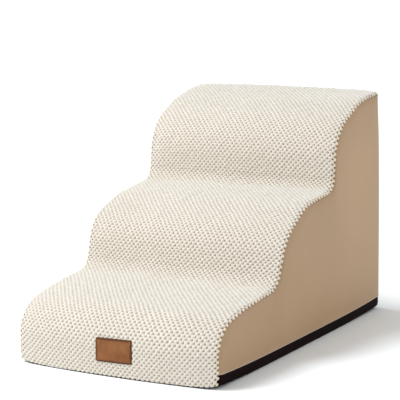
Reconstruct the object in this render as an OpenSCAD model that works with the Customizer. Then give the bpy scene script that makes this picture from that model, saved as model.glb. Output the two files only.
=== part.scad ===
/* [Stairs] */
// Overall width, over the base band
stairs_w = 372; // [300:2:480]

/* [First step] */
// Height at which the first riser and its tread would meet
first_riser_h = 95; // [88:1:104]
// Length of the first tread, from riser line to riser line
first_tread_l = 197; // [170:1:215]
// Climb of the first tread towards the back
first_tread_rise = 22; // [12:1:30]
// Radius of the first nose
first_nose_r = 52; // [36:1:60]
// Radius of the valley behind the first tread
first_valley_r = 40; // [20:1:50]

/* [Second step] */
// Height of the second riser
second_riser_h = 77; // [70:1:90]
// Backward lean of the second riser
second_riser_lean = 30; // [15:1:40]
// Length of the sloping shoulder over the second riser
second_shoulder_l = 76; // [66:1:90]
// Climb of the second shoulder
second_shoulder_rise = 39; // [32:1:46]
// Length of the second tread
second_tread_l = 105; // [90:1:120]
// Climb of the second tread towards the back
second_tread_rise = 11; // [6:1:16]
// Radius between the second riser and its shoulder
second_nose_r = 80; // [40:1:90]
// Radius between the second shoulder and its tread
second_shoulder_r = 95; // [50:1:110]
// Radius of the valley behind the second tread
second_valley_r = 28; // [16:1:36]

/* [Third step] */
// Height of the third riser
third_riser_h = 101; // [92:1:110]
// Backward lean of the third riser
third_riser_lean = 11; // [4:1:20]
// Length of the sloping shoulder over the third riser
third_shoulder_l = 82; // [74:1:92]
// Climb of the third shoulder
third_shoulder_rise = 36; // [28:1:40]
// Radius between the third riser and its shoulder
third_nose_r = 85; // [50:1:90]
// Length of the top tread, from its shoulder to the back
top_tread_l = 94; // [70:1:140]
// Climb of the top tread towards the back
top_tread_rise = 15; // [10:1:30]
// Radius between the third shoulder and the top tread
third_shoulder_r = 80; // [50:1:100]

/* [Foam] */
// Thickness of the softer foam layer bonded over the steps
comfort_t = 20; // [8:1:30]

/* [Cover] */
// Thickness of the looped fabric over the treads and risers
cover_t = 5; // [4:0.5:8]
// How far that fabric is drawn in where it is sewn to the sides
edge_draw = 3; // [0.5:0.5:3.5]
// Width of the strip beside each side seam that the drawing-in rounds
edge_draw_w = 26; // [12:1:40]
// Thickness of the side and back panels
panel_t = 2; // [1:0.2:3]
// Thickness of the non-slip base fabric
base_t = 2; // [1:0.2:4]
// Height of the dark band above the base fabric
band_h = 16; // [12:1:20]
// How far the band stands proud of the panels
band_proud = 0.4; // [0.2:0.1:1]

/* [Zipper] */
// Height of the zipper's centre line above the floor
zip_h = 48; // [44:1:60]
// Distance from each end of the teeth to the side of the stairs
zip_margin = 25; // [22:1:60]
// Height of the slot in the back panel, over both tapes
slot_h = 16; // [14:1:22]
// Width of one tape, from its teeth to its outer edge
tape_w = 11; // [9:1:14]
// Thickness of a tape
tape_t = 0.8; // [0.6:0.1:1]
// Length of tape past each end of the teeth
tape_tail_l = 8; // [6:1:10]
// Thickness of the teeth, through the tape
teeth_t = 2.6; // [2:0.1:3]
// Height of one row of teeth, from tape to tip
teeth_h = 2.3; // [1.8:0.1:2.5]
// Spacing of the teeth along a row
teeth_pitch = 3.3; // [2.5:0.1:5]
// Gap between the tips of the two rows
teeth_gap = 1.4; // [1.2:0.1:2]
// Length of an end stop
stop_l = 3; // [2:0.5:4]

/* [Slider] */
// Length of the slider
slider_l = 11; // [9:0.5:14]
// Height of the slider at its wide end
slider_h = 10; // [9.6:0.1:10.6]
// Height of the slider at its narrow end
slider_tail_h = 9; // [8.8:0.1:9.6]
// Thickness of each of the slider's two plates
slider_plate_t = 1.1; // [0.8:0.1:1.3]
// Clearance between the slider and what it runs over
slide_gap = 0.3; // [0.2:0.05:0.4]
// Clearance between the slider and a stop at the end of its travel
stop_gap = 0.4; // [0.3:0.1:1]
// Length of the bridge that holds the pull
bridge_l = 7.2; // [6:0.2:8]
// Width of the bridge
bridge_w = 2.4; // [2:0.1:2.8]
// Thickness of the bridge
bridge_t = 1.1; // [0.8:0.1:1.3]

/* [Pull] */
// Length of the pull from its pivot
pull_l = 26; // [18:1:32]
// Width of the pull's plate
pull_w = 7; // [6.4:0.2:9]
// Thickness of the pull
pull_t = 1.4; // [1.2:0.1:1.6]
// Clearance between the pull and the bridge
pull_gap = 0.3; // [0.2:0.05:0.4]
// Width of each of the pull's two arms
pull_arm_w = 1.5; // [1.2:0.1:1.7]
// Radius of the hole in the end of the pull
pull_hole_r = 1.6; // [1:0.1:2]

/* [Label] */
// Width of the leather patch on the first riser
patch_w = 68; // [40:1:100]
// Height of the patch
patch_h = 37; // [20:0.5:42]
// Thickness of the patch
patch_t = 1.8; // [1:0.1:3]
// Height of the patch's lower edge above the floor
patch_floor_h = 22.5; // [12:0.5:28]
// Distance of the patch's middle to the right of the stairs' middle
patch_shift = -1; // [-20:0.5:20]
// Radius of the patch's corners
patch_corner_r = 3; // [1:0.5:6]
// Distance of the stitches from the patch's edge
stitch_inset = 3; // [2:0.5:5]
// Length of a stitch
stitch_l = 3; // [2:0.25:3.5]
// Thickness of the thread
stitch_t = 0.5; // [0.3:0.1:0.8]
// Gap between stitches
stitch_gap = 1.6; // [1:0.1:3]
// Width of the blank care label on the back
care_w = 16; // [10:1:18]
// Gap between the care label's lower end and the band
care_gap = 5; // [2:1:12]
// Thickness of the care label
care_t = 0.3; // [0.2:0.1:0.4]
// Distance of the care label from the side of the back panel
care_inset = 3; // [1:0.5:4]

/* [Hidden] */

// Colours of the materials
cream = [0.91, 0.87, 0.79];
tan_leather = [0.69, 0.60, 0.49];
dark_band = [0.17, 0.13, 0.11];
foam_white = [0.95, 0.94, 0.90];
foam_yellow = [0.93, 0.88, 0.66];
tape_tan = [0.64, 0.54, 0.43];
metal = [0.72, 0.70, 0.66];
patch_brown = [0.48, 0.29, 0.18];
thread_brown = [0.30, 0.18, 0.11];
label_white = [0.93, 0.92, 0.90];

// Steps in each arc of the outline, and sides of the small round parts
arc_steps = 10;
round_fn = 32;
// Overrun that lets a cut pass its surface
cut = 1;

// Outline of the sewn edge, seen from the side: the steps from each corner to the next,
// back (runs) and up (rises), from the floor at the front to the top back edge
outline_runs = [0, 0, first_tread_l, second_riser_lean, second_shoulder_l,
                second_tread_l, third_riser_lean, third_shoulder_l, top_tread_l];
outline_rises = [base_t, first_riser_h - base_t, first_tread_rise, second_riser_h,
                 second_shoulder_rise, second_tread_rise, third_riser_h, third_shoulder_rise,
                 top_tread_rise];
function total(v, n) = n < 0 ? 0 : v[n] + total(v, n - 1);
last = len(outline_runs) - 1;

// Overall length, from the face of the first riser to the back, and overall height
stairs_l = cover_t + total(outline_runs, last);
stairs_h = cover_t + total(outline_rises, last);

// Places of the main planes
front_y = cover_t - stairs_l / 2;
band_t = panel_t + band_proud;
back_y = stairs_l / 2;
back_face_y = back_y - band_proud;
foam_back_y = back_face_y - panel_t;
foam_half_w = stairs_w / 2 - band_t;
panel_half_w = stairs_w / 2 - band_proud;
band_top = base_t + band_h;

// Corner points (y, z) of the sewn edge, and the radius at each
corners = [for (i = [0 : last]) [front_y + total(outline_runs, i), total(outline_rises, i)]];
radii = [0, first_nose_r, first_valley_r, second_nose_r, second_shoulder_r,
         second_valley_r, third_nose_r, third_shoulder_r, 0];

// Direction of a straight stretch, and its normal that points into the foam
function stretch(i) = let (v = corners[i + 1] - corners[i]) v / norm(v);
function inward(i) = let (u = stretch(i)) [u[1], -u[0]];
function angle_of(v) = atan2(v[1], v[0]);
// 1 where the outline turns round a nose, -1 where it turns in a valley
function turn_sign(i) = angle_of(stretch(i - 1)) > angle_of(stretch(i)) ? 1 : -1;
// Corner i of the outline moved inward by d
function moved_corner(i, d) =
    let (a = inward(i - 1), b = inward(i)) corners[i] + d * (a + b) / (1 + a * b);
// Rounded corner i, as the points of its arc: the centre is the same at every depth
function corner_arc(i, d) =
    let (a = inward(i - 1), b = inward(i), s = turn_sign(i),
         r = radii[i] - s * d,
         half_turn = abs(angle_of(b) - angle_of(a)) / 2,
         start = moved_corner(i, d) - stretch(i - 1) * r * tan(half_turn),
         centre = start + s * r * a)
    [for (k = [0 : arc_steps])
        let (t = angle_of(a) + (angle_of(b) - angle_of(a)) * k / arc_steps)
        centre - s * r * [cos(t), sin(t)]];
// End of the outline at depth d, where it meets the plane y = end_y
function end_point(d, end_y) =
    let (u = stretch(last - 1), p = corners[last] + d * inward(last - 1))
    p + u * (end_y - p[0]) / u[0];
// The whole rounded outline at depth d below the sewn edge
function outline(d, end_y) = concat(
    [corners[0] + d * inward(0)],
    [for (i = [1 : last - 1]) each corner_arc(i, d)],
    [end_point(d, end_y)]);

// Solid under the outline at depth d, between the floor fabric and the plane y = end_y
module under_outline(d, end_y, half_w) {
    shape = outline(d, end_y);
    translate([-half_w, 0, 0])
        rotate([90, 0, 90])
            linear_extrude(2 * half_w)
                polygon(concat(shape, [[end_y, base_t]]));
}

// Box given by its lowest and highest corners
module block(low, high) {
    translate(low) cube(high - low);
}

// Rounded rectangle in the plane, centred
module rounded_rect(w, h, r) {
    square([w - 2 * r, h], center = true);
    square([w, h - 2 * r], center = true);
    for (sx = [-1, 1], sz = [-1, 1])
        translate([sx * (w / 2 - r), sz * (h / 2 - r)]) circle(r, $fn = round_fn);
}

// Extrudes a drawing of (x, z) from y = low_y up to y = high_y
module standing(low_y, high_y) {
    translate([0, high_y, 0])
        rotate([90, 0, 0])
            linear_extrude(high_y - low_y) children();
}

// Zipper places, measured along it and through the tape
zip_l = stairs_w - 2 * zip_margin;
tape_y = foam_back_y - tape_t / 2;
teeth_back_y = tape_y - teeth_t / 2;
teeth_face_y = tape_y + teeth_t / 2;
tape_half_l = zip_l / 2 + tape_tail_l;
row_in = teeth_gap / 2;
row_out = row_in + teeth_h;
tape_out = row_out + tape_w;
slot_half_l = zip_l / 2 + stop_l + slide_gap;
slider_face_y = teeth_face_y + slide_gap;
slider_top_y = slider_face_y + slider_plate_t;
slider_under_y = teeth_back_y - slide_gap;
slider_back_y = slider_under_y - slider_plate_t;
slider_x = zip_l / 2 - stop_gap - slider_l / 2;
// Clear depth and height left in the foam round the slider's hidden plate
channel_clear = 0.8;
channel_y = slider_back_y - channel_clear;
channel_half_h = slider_h / 2 + 2 * channel_clear;
pivot_y = slider_top_y + pull_gap + pull_t / 2;

// Room for the tapes and the slider in the back of the foam
module zipper_room() {
    block([-tape_half_l, tape_y - tape_t / 2, zip_h - tape_out],
          [tape_half_l, foam_back_y + cut, zip_h + tape_out]);
    block([-slot_half_l, channel_y, zip_h - channel_half_h],
          [slot_half_l, foam_back_y + cut, zip_h + channel_half_h]);
}

// Firm foam that carries the load: one block cut as three steps
module support_foam() {
    color(foam_white)
        difference() {
            under_outline(comfort_t, foam_back_y, foam_half_w);
            zipper_room();
        }
}

// Softer foam sheet bonded over the risers and treads
module comfort_foam() {
    color(foam_yellow)
        translate([-foam_half_w, 0, 0])
            rotate([90, 0, 90])
                linear_extrude(2 * foam_half_w)
                    polygon(concat(outline(0, foam_back_y), reverse_list(outline(comfort_t, foam_back_y))));
}
function reverse_list(v) = [for (i = [len(v) - 1 : -1 : 0]) v[i]];

// Places across the width where the cover is drawn in, from the left seam to the right
draw_shares = [0, 0.16, 0.45, 1];
cover_x = concat([for (s = draw_shares) s * edge_draw_w - stairs_w / 2],
                 [for (s = reverse_list(draw_shares)) stairs_w / 2 - s * edge_draw_w]);
cover_draw = concat([for (s = draw_shares) edge_draw * (1 - s) * (1 - s)],
                    [for (s = reverse_list(draw_shares)) edge_draw * (1 - s) * (1 - s)]);

// One sheet of looped fabric from the floor over the three steps to the top back edge,
// flat in the middle and rounded down to its side seams
module tread_cover() {
    outer = [for (i = [0 : len(cover_x) - 1])
        [for (p = outline(cover_draw[i] - cover_t, back_y)) [cover_x[i], p[0], p[1]]]];
    inner = [for (x = [-stairs_w / 2, stairs_w / 2])
        [for (p = outline(0, back_y)) [x, p[0], p[1]]]];
    rows = len(outer);
    n = len(outer[0]);
    points = concat([for (row = outer) each row], [for (row = inner) each row]);
    left = rows * n;
    right = left + n;
    color(cream)
        polyhedron(points, concat(
            [for (i = [0 : rows - 2], k = [0 : n - 2])
                each two_triangles(i * n + k, i * n + k + 1, (i + 1) * n + k + 1, (i + 1) * n + k)],
            [for (k = [0 : n - 2])
                each concat(
                    two_triangles(left + k, right + k, right + k + 1, left + k + 1),
                    two_triangles(k, left + k, left + k + 1, k + 1),
                    two_triangles((rows - 1) * n + k, (rows - 1) * n + k + 1, right + k + 1, right + k))],
            [for (i = [0 : rows - 2])
                each [[left, i * n, (i + 1) * n],
                      [left + n - 1, (i + 1) * n + n - 1, i * n + n - 1]]],
            [[left, (rows - 1) * n, right],
             [left + n - 1, right + n - 1, rows * n - 1]]));
}
function two_triangles(a, b, c, d) = [[a, b, c], [a, c, d]];

// Flat side of the cover, above the band; side is -1 for the left and 1 for the right
module side_panel(side) {
    inner_x = side * foam_half_w;
    outer_x = side * panel_half_w;
    color(tan_leather)
        intersection() {
            under_outline(0, foam_back_y, panel_half_w);
            block([min(inner_x, outer_x), front_y - cut, band_top],
                  [max(inner_x, outer_x), foam_back_y + cut, stairs_h]);
        }
}

// Back of the cover between two heights, with its half of the zipper slot cut out
module back_panel(low_z, high_z) {
    color(tan_leather)
        intersection() {
            under_outline(0, back_y, panel_half_w);
            difference() {
                block([-panel_half_w, foam_back_y, low_z], [panel_half_w, back_face_y, high_z]);
                block([-slot_half_l, foam_back_y - cut, zip_h - slot_h / 2],
                      [slot_half_l, back_face_y + cut, zip_h + slot_h / 2]);
            }
        }
}

// Non-slip fabric that the stairs stand on
module base_panel() {
    color(dark_band)
        block([-stairs_w / 2, -stairs_l / 2, 0], [stairs_w / 2, back_y, base_t]);
}

// Dark strip round both sides and the back, just above the base fabric
module base_band() {
    color(dark_band)
        difference() {
            block([-stairs_w / 2, front_y, base_t], [stairs_w / 2, back_y, band_top]);
            block([-foam_half_w, front_y - cut, base_t - cut], [foam_half_w, foam_back_y, band_top + cut]);
        }
}

// One zipper tape; up is 1 above the teeth and -1 below them
module zipper_tape(up) {
    color(tape_tan)
        standing(tape_y - tape_t / 2, foam_back_y)
            translate([-tape_half_l, zip_h + (up > 0 ? row_out : -tape_out)])
                square([2 * tape_half_l, tape_w]);
}

// One row of moulded teeth on a spine; the rows are half a pitch apart along the zipper
module zipper_teeth(up) {
    spine_h = teeth_h / 2;
    tooth_l = teeth_pitch / 2;
    count = floor((zip_l - teeth_pitch) / teeth_pitch);
    first_x = -count * teeth_pitch / 2 + (up > 0 ? 0 : teeth_pitch / 2 - tooth_l / 2);
    color(metal)
        standing(teeth_back_y, teeth_face_y)
            translate([0, zip_h])
                scale([1, up]) {
                    translate([-zip_l / 2, row_out - spine_h]) square([zip_l, spine_h]);
                    for (k = [0 : count - 1])
                        translate([first_x + k * teeth_pitch, row_in]) square([tooth_l, teeth_h]);
                }
}

// Block that ends a row of teeth, thicker than the teeth so that the slider stops on it
module zipper_stop(low_x, low_z, high_z) {
    block([low_x, teeth_back_y - slide_gap, zip_h + low_z],
          [low_x + stop_l, teeth_face_y + slide_gap, zip_h + high_z]);
}

// Two stops at the closed end, one on each row
module zipper_top_stops() {
    color(metal) {
        zipper_stop(zip_l / 2, row_in, row_out);
        zipper_stop(zip_l / 2, -row_out, -row_in);
    }
}

// One stop at the open end, across both rows
module zipper_bottom_stop() {
    color(metal) zipper_stop(-zip_l / 2 - stop_l, -row_out, row_out);
}

// Outline of the slider's plates in (x, z): wide at the end that leads when closing
module slider_outline() {
    tip_share = 0.45;
    polygon([[-slider_l / 2, -slider_tail_h / 2], [0, -slider_tail_h / 2],
             [slider_l / 2 * tip_share, -slider_h / 2], [slider_l / 2, -slider_h / 2],
             [slider_l / 2, slider_h / 2], [slider_l / 2 * tip_share, slider_h / 2],
             [0, slider_tail_h / 2], [-slider_l / 2, slider_tail_h / 2]]);
}

// Slider: two plates with turned-in edges, joined by a thin post that runs between the rows,
// with an arched bridge for the pull
module zipper_slider() {
    lip_w = (slider_tail_h - 2 * row_out) / 2 - slide_gap;
    post_w = teeth_gap - 2 * slide_gap;
    post_share = 0.3;
    bridge_h = 2 * pull_gap + pull_t + bridge_t;
    color(metal)
        translate([slider_x, 0, 0]) {
            translate([0, 0, zip_h]) {
                standing(slider_face_y, slider_top_y) slider_outline();
                standing(slider_back_y, slider_under_y) slider_outline();
                standing(tape_y + tape_t / 2 + slide_gap, slider_face_y) slider_edges(lip_w);
                standing(slider_under_y, tape_y - tape_t / 2 - slide_gap) slider_edges(lip_w);
                standing(slider_under_y, slider_face_y)
                    translate([slider_l / 2 * (1 - 2 * post_share), -post_w / 2])
                        square([slider_l * post_share, post_w]);
                // Bridge: two legs and a bar, with the pull's crossbar between them
                for (s = [-1, 1])
                    block([s * bridge_l / 2 - (s > 0 ? bridge_t : 0), slider_top_y, -bridge_w / 2],
                          [s * bridge_l / 2 + (s > 0 ? 0 : bridge_t), slider_top_y + bridge_h, bridge_w / 2]);
                block([-bridge_l / 2, slider_top_y + bridge_h - bridge_t, -bridge_w / 2],
                      [bridge_l / 2, slider_top_y + bridge_h, bridge_w / 2]);
            }
        }
}

// The turned-in edges of a slider plate, in (x, z)
module slider_edges(lip_w) {
    clear_half_h = slider_tail_h / 2 - lip_w;
    difference() {
        slider_outline();
        translate([-slider_l, -clear_half_h]) square([2 * slider_l, 2 * clear_half_h]);
    }
}

// Pull: a crossbar under the bridge, two arms beside it, and a plate with a hole
module zipper_pull() {
    arm_in = bridge_w / 2 + pull_gap;
    arm_out = arm_in + pull_arm_w;
    neck_l = norm([bridge_l / 2, bridge_t + pull_gap + pull_t / 2]) + pull_gap + pull_t / 2;
    end_r = pull_w / 2;
    color(metal)
        translate([slider_x, pivot_y, zip_h]) {
            translate([0, 0, -arm_out]) cylinder(h = 2 * arm_out, r = pull_t / 2, $fn = round_fn);
            for (s = [-1, 1])
                block([-neck_l - pull_t, -pull_t / 2, s > 0 ? arm_in : -arm_out],
                      [0, pull_t / 2, s > 0 ? arm_out : -arm_in]);
            standing(-pull_t / 2, pull_t / 2)
                difference() {
                    union() {
                        translate([-pull_l + end_r, -pull_w / 2])
                            square([pull_l - end_r - neck_l, pull_w]);
                        translate([-pull_l + end_r, 0]) circle(end_r, $fn = round_fn);
                    }
                    translate([-pull_l + end_r, 0]) circle(pull_hole_r, $fn = round_fn);
                }
        }
}

// Cuts a drawing of (x, z), placed about the patch's middle, out of a layer that follows
// the first riser, between two heights above the face of the tread cover
module over_riser(low_d, high_d) {
    intersection() {
        difference() {
            under_outline(-cover_t - high_d, back_y, stairs_w / 2);
            under_outline(-cover_t - low_d, back_y + cut, stairs_w / 2 + cut);
        }
        translate([patch_shift, 0, patch_floor_h + patch_h / 2])
            standing(-stairs_l / 2 - high_d - cut, 0) children();
    }
}

// Bare leather patch sewn to the front of the first step, bent round its nose
module label_patch() {
    color(patch_brown)
        over_riser(0, patch_t) rounded_rect(patch_w, patch_h, patch_corner_r);
}

// Row of stitches in (x, z) along a line of the given length, centred
module stitch_row(length) {
    step = stitch_l + stitch_gap;
    count = floor((length - stitch_l) / step) + 1;
    for (k = [0 : count - 1])
        translate([(k - (count - 1) / 2) * step, 0]) square([stitch_l, stitch_t], center = true);
}

// Thread that shows on the face of the patch
module label_stitches() {
    inner_w = patch_w - 2 * stitch_inset;
    inner_h = patch_h - 2 * stitch_inset;
    color(thread_brown)
        over_riser(patch_t, patch_t + stitch_t / 2)
            for (s = [-1, 1]) {
                translate([0, s * inner_h / 2]) stitch_row(inner_w - 2 * stitch_gap);
                translate([s * inner_w / 2, 0]) rotate(90) stitch_row(inner_h - 2 * stitch_gap);
            }
}

// Blank care label, sewn into the seam beside the open end of the zipper
module care_label() {
    low_x = -panel_half_w + care_inset;
    color(label_white)
        block([low_x, back_face_y, band_top + care_gap],
              [low_x + care_w, back_face_y + care_t, zip_h]);
}

support_foam();
comfort_foam();
tread_cover();
side_panel(-1);  // side_panel_left
side_panel(1);  // side_panel_right
back_panel(zip_h, stairs_h);  // back_panel_upper
back_panel(band_top, zip_h);  // back_panel_lower
base_panel();
base_band();
zipper_tape(1);  // zipper_tape_upper
zipper_tape(-1);  // zipper_tape_lower
zipper_teeth(1);  // zipper_teeth_upper
zipper_teeth(-1);  // zipper_teeth_lower
zipper_top_stops();
zipper_bottom_stop();
zipper_slider();
zipper_pull();
label_patch();
label_stitches();
care_label();
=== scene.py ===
# %% [markdown]
# # Foam pet stairs in a zipped cover
# The real stairs are blocks of foam inside a sewn cover: one long sheet of cream fabric with round
# tufts runs from the floor over all three steps, smooth tan cloth closes the sides and the back,
# and a dark base keeps them from slipping. The solid model gives every size. Here each piece gets
# its cloth, tufts, stitches and light.

# %% The tools and the solid model
import math

import bmesh
import bpy
import numpy as np
from mathutils import Matrix, Vector


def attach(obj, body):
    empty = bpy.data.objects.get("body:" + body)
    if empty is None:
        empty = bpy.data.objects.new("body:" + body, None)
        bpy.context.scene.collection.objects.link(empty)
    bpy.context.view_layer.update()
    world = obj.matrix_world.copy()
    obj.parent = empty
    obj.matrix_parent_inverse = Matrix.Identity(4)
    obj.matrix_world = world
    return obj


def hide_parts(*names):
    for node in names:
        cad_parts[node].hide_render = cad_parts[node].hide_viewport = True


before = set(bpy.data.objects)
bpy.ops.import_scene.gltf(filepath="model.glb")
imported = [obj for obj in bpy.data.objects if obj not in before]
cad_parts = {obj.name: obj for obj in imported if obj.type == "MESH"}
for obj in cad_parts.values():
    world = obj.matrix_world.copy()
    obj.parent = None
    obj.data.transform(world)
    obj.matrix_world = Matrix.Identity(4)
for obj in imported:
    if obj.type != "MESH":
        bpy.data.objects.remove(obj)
scene = bpy.context.scene
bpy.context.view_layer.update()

# %% [markdown]
# The stairs are drawn as a product shot: a long lens, a little to the right of the front and a
# little above it. A constraint could aim the camera, but writing its three directions down gives
# the small roll as well, and needs nothing else in the scene.

# %% The camera
def aim(camera, target, turn, climb, roll, distance):
    """Looks at the target from a turn to the right of the front and a climb above the floor.
    Back points from the target to the camera; right and up are square to it, turned by the roll."""
    a, e, r = (math.radians(v) for v in (turn, climb, roll))
    back = Vector((math.sin(a) * math.cos(e), -math.cos(a) * math.cos(e), math.sin(e)))
    right = Vector((math.cos(a), math.sin(a), 0))
    up = back.cross(right)
    right, up = right * math.cos(r) + up * math.sin(r), up * math.cos(r) - right * math.sin(r)
    camera.matrix_world = Matrix.Translation(Vector(target) + distance * back) @ Matrix(
        (right, up, back)).transposed().to_4x4()

lens = bpy.data.cameras.new("long_lens")
lens.sensor_width, lens.lens = 36, 146.7
camera = bpy.data.objects.new("camera", lens)
scene.collection.objects.link(camera)
aim(camera, (-0.0166, 0.0032, 0.2325), turn=30.35, climb=9.76, roll=-1.03, distance=2.7957)
scene.camera = camera

# %% [markdown]
# All the pieces follow one outline: the line in which the tufted sheet is sewn to the sides. Seen
# from the side it is eight straight stretches, joined by arcs round the noses and in the valleys.
# A Bezier curve could follow it, but the tufts are a regular pattern on the cloth, so here every
# place on the outline is found from its distance along it.

# %% Sizes that the solid model shares
HALF_W, FRONT, BACK = 0.186, -0.295, 0.300        # half width, sewn edge in front, back
COVER, PANEL, PROUD = 0.005, 0.002, 0.0004        # tufted sheet, side cloth, band over the cloth
BASE, BAND_TOP, COMFORT = 0.002, 0.018, 0.020     # base cloth, top of the band, soft foam layer
SIDE_X, BACK_Y = HALF_W - PROUD, BACK - PROUD     # faces of the side cloth and the back cloth
CORNER_YZ = np.array([(-0.295, 0.002), (-0.295, 0.095), (-0.098, 0.117), (-0.068, 0.194),
                      (0.008, 0.233), (0.113, 0.244), (0.124, 0.345), (0.206, 0.381),
                      (0.300, 0.396)])
CORNER_R = np.array([0.052, 0.040, 0.080, 0.095, 0.028, 0.085, 0.080])

# %% The outline by arc length
def measure_outline(corners, radii):
    """Lays straights and arcs end to end. An arc starts and ends at the radius times the tangent
    of half the turn from its corner, and its length is the radius times the turn."""
    steps = np.diff(corners, axis=0)
    lengths = np.hypot(*steps.T)
    along = steps / lengths[:, None]
    heading = np.arctan2(along[:, 1], along[:, 0])
    turn = np.diff(heading)
    cut_back = radii * np.tan(np.abs(turn) / 2)
    arc_from = corners[1:-1] - along[:-1] * cut_back[:, None]
    arc_to = corners[1:-1] + along[1:] * cut_back[:, None]
    starts = np.empty((2 * len(radii) + 2, 2))
    starts[0], starts[1:-1:2], starts[2:-1:2], starts[-1] = corners[0], arc_from, arc_to, corners[-1]
    spans = np.hypot(*np.diff(starts, axis=0).T)
    spans[1::2] = radii * np.abs(turn)
    bends = np.zeros(len(spans))
    bends[1::2] = turn / spans[1::2]
    return np.concatenate([[0], np.cumsum(spans)]), starts, np.repeat(heading, 2)[:-1], bends

place_s, place_yz, place_heading, place_bend = measure_outline(CORNER_YZ, CORNER_R)
LENGTH = place_s[-1]

def outline_at(s):
    """Point (y, z) and outward direction at distances s along the sewn edge. The chord of an arc is
    the distance times the sine of half the turn over half the turn, along the middle heading."""
    k = np.clip(np.searchsorted(place_s, s, side="right") - 1, 0, len(place_bend) - 1)
    ds = s - place_s[k]
    turn = place_bend[k] * ds
    chord, middle = ds * np.sinc(turn / (2 * np.pi)), place_heading[k] + turn / 2
    end = place_heading[k] + turn
    yz = place_yz[k] + chord[..., None] * np.stack([np.cos(middle), np.sin(middle)], -1)
    return yz, np.stack([-np.sin(end), np.cos(end)], -1)

def above_outline(s, n):
    """Points (y, z) at distances s along the sewn edge, n outwards from it."""
    yz, out = outline_at(s)
    return yz + out * n[..., None]

print("sewn edge:", round(1000 * LENGTH), "mm from the floor to the top of the back")

# %% [markdown]
# Foam in a sewn cover isn't a straight block: its steps bulge in the middle, and along the two side
# edges they sit a little unevenly. These offsets are given in millimetres at some distances along
# the outline and blended between them. Every piece that follows the outline takes them, so cover,
# foam and seams stay together.

# %% How the foam swells and sinks
SWELL_MM = (10, 8, 4, 2, 2, 4, 4, 3, 2, 2, 2, 3, 3, 2, 1, 1)      # at the ends of the stretches
LEFT_S = np.array([0, 60, 100, 150, 230, 270, 300, 330, 360, 400, 440, 480, 580, 660, 720, 760,
                   810]) / 1000
LEFT_MM = (-1, -1, -7, 2, 2, 0, 2, 11, 8, 4, -5, -1, -3, -4.5, -4.5, 0, 0)
RIGHT_S = np.array([0, 60, 95, 125, 150, 240, 270, 300, 350, 385, 410, 450, 530, 550, 600, 640, 690,
                    715, 740, 775, 810]) / 1000
RIGHT_MM = (0, 0, -4, 0, 3, 2.4, 0, -0.5, -2, -1, 2.6, 3, 3, 0.5, 0, 1.5, -2.5, -1.5, 5, 2, -3)

def along(s, values_mm, at=place_s):
    """Average of nine straight-line readings within 30 mm of each distance, in metres."""
    near = [np.interp(s + d, at, values_mm) for d in np.linspace(-0.03, 0.03, 9)]
    return np.mean(near, axis=0) / 1000

def swell(x, s):
    """One minus the square of x over the half width times the bulge, and the cube of it on each
    side times that edge's own offset."""
    share = np.clip(x / HALF_W, -1, 1)
    return (along(s, SWELL_MM) * (1 - share ** 2)
            + along(s, LEFT_MM, LEFT_S) * np.clip(-share, 0, 1) ** 3
            + along(s, RIGHT_MM, RIGHT_S) * np.clip(share, 0, 1) ** 3)

# %% [markdown]
# The cover also pulls the bottom corners up a few millimetres, and the front ones in a little. At
# the top of the back the corners are drawn in, and the whole left side bulges out. Every piece is
# moved by the same small amounts.

# %% The lift of the corners
LIFT, PULL_IN, LEFT_OUT, TOP_IN = 0.0055, 0.002, 0.002, 0.0015   # each where it is strongest

def smooth_step(t):
    """Zero below 0, one above 1, and 3 t squared minus 2 t cubed between."""
    t = np.clip(t, 0, 1)
    return t * t * (3 - 2 * t)

def round_in(d, r):
    """How far an edge of radius r falls back at the distance d from its end: r less the root of r
    squared minus the square of r minus d."""
    return r - np.sqrt(np.clip(r * r - (r - np.clip(d, 0, r)) ** 2, 0, None))

def lifted(points):
    """Raises points near the bottom corners by the lift times the twelfth power of x over the half
    width times the fourth power of y over the half length, fading out 75 mm above the floor. The
    lowest 16 mm of the front corners and the top of the back ones come in, and the left side goes
    out by the cube of x over the half width."""
    x, y, z = points[..., 0], points[..., 1], points[..., 2]
    aside = np.clip(np.abs(x) / HALF_W, 0, 1)
    side, end = aside ** 12, np.clip(np.abs(y) / BACK, 0, 1) ** 4
    top = aside ** 8 * smooth_step((y - 0.27) / 0.03) * smooth_step((z - 0.30) / 0.09)
    out = points.copy()
    out[..., 2] += side * LIFT * end * (1 - smooth_step((z - 0.015) / 0.060))
    out[..., 0] -= np.sign(x) * side * end * PULL_IN * (y < 0) * (1 - smooth_step(z / 0.016))
    out[..., 0] -= LEFT_OUT * np.clip(-x / HALF_W, 0, 1) ** 3
    out[..., 0] -= TOP_IN * np.sign(x) * top
    return out

# %% Making a mesh from a grid of points
def placed(x, yz):
    """Points from their places across the width and those seen from the side."""
    return np.concatenate([np.broadcast_to(x, yz.shape[:-1])[..., None], yz], -1)

def add_piece(name, vertices, faces, sharp=False):
    """New object at the origin, its vertices and faces given as arrays or lists."""
    mesh = bpy.data.meshes.new(name)
    mesh.from_pydata(np.asarray(vertices).reshape(-1, 3).tolist(), [],
                     faces if isinstance(faces, list) else faces.tolist())
    mesh.validate()
    mesh.polygons.foreach_set("use_smooth", np.full(len(mesh.polygons), not sharp))
    mesh.update()
    piece = bpy.data.objects.new(name, mesh)
    scene.collection.objects.link(piece)
    return piece

def grid_faces(rows, columns, loop=False):
    """Quads between each row of points and the next; a loop joins the last column to the first."""
    i, j = np.arange(rows - 1)[:, None], np.arange(columns if loop else columns - 1)
    k = (j + 1) % columns
    below, above = i * columns, (i + 1) * columns
    return np.stack([below + j, below + k, above + k, above + j], -1).reshape(-1, 4)

def add_tube(name, points, sharp=False):
    """A closed piece: each row of points is a ring, and one many-sided face fills each end."""
    rows, columns = points.shape[:2]
    faces = grid_faces(rows, columns, loop=True).tolist()
    faces += [list(range(columns))[::-1], [(rows - 1) * columns + k for k in range(columns)]]
    return add_piece(name, points, faces, sharp)

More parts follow.
